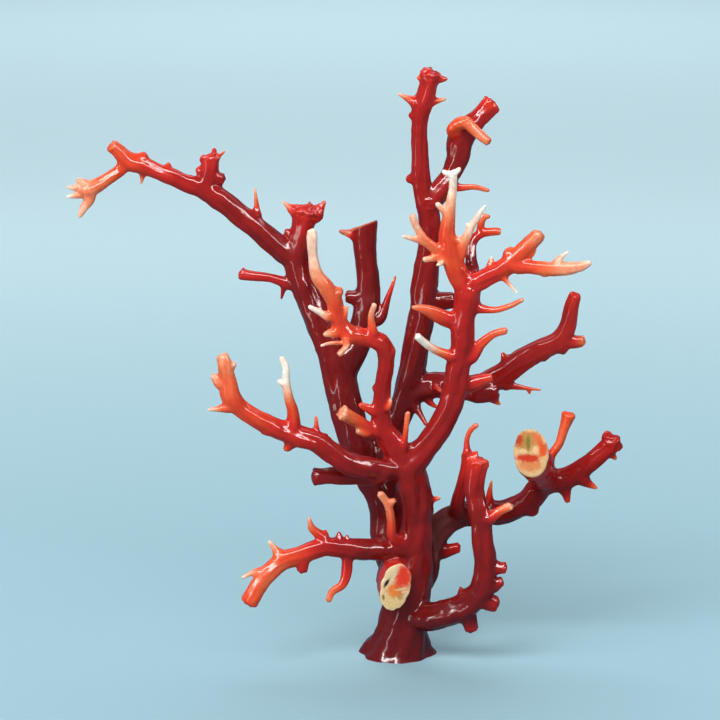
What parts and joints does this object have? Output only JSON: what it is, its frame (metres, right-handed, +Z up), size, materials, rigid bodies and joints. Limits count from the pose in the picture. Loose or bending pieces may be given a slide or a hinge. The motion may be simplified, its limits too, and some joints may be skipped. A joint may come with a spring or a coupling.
{
  "type": "red coral branch",
  "caption": "Branching stem of polished red coral, dark red below and orange to cream at its twig ends, cut flat at the foot so that it stands.",
  "frame": {"origin": "middle of the flat cut under the foot", "axes": "+Z up from the cut, +X to the viewer's right and +Y away from the viewer when the two cut knobs face the viewer"},
  "size_m": [0.1092, 0.0314, 0.1168],
  "materials": {
    "coral_red": "polished",
    "coral_dark_red": "polished",
    "coral_orange_red": "polished"
  },
  "bodies": {
    "root": {"trunk": "coral_red", "left_stem": "coral_dark_red", "far_left_arm": "coral_dark_red", "middle_stem": "coral_dark_red", "centre_stem": "coral_dark_red", "centre_tip": "coral_dark_red", "upper_right_tip": "coral_dark_red", "right_arm": "coral_dark_red", "front_left_stem": "coral_orange_red", "front_left_spur": "coral_orange_red", "front_right_stem": "coral_red", "front_tip": "coral_orange_red", "right_front_tip": "coral_red", "left_arm": "coral_red", "low_left_arm": "coral_red", "low_left_twig": "coral_red", "low_right_stem": "coral_red", "low_right_arm": "coral_dark_red"}
  },
  "joints": []
}
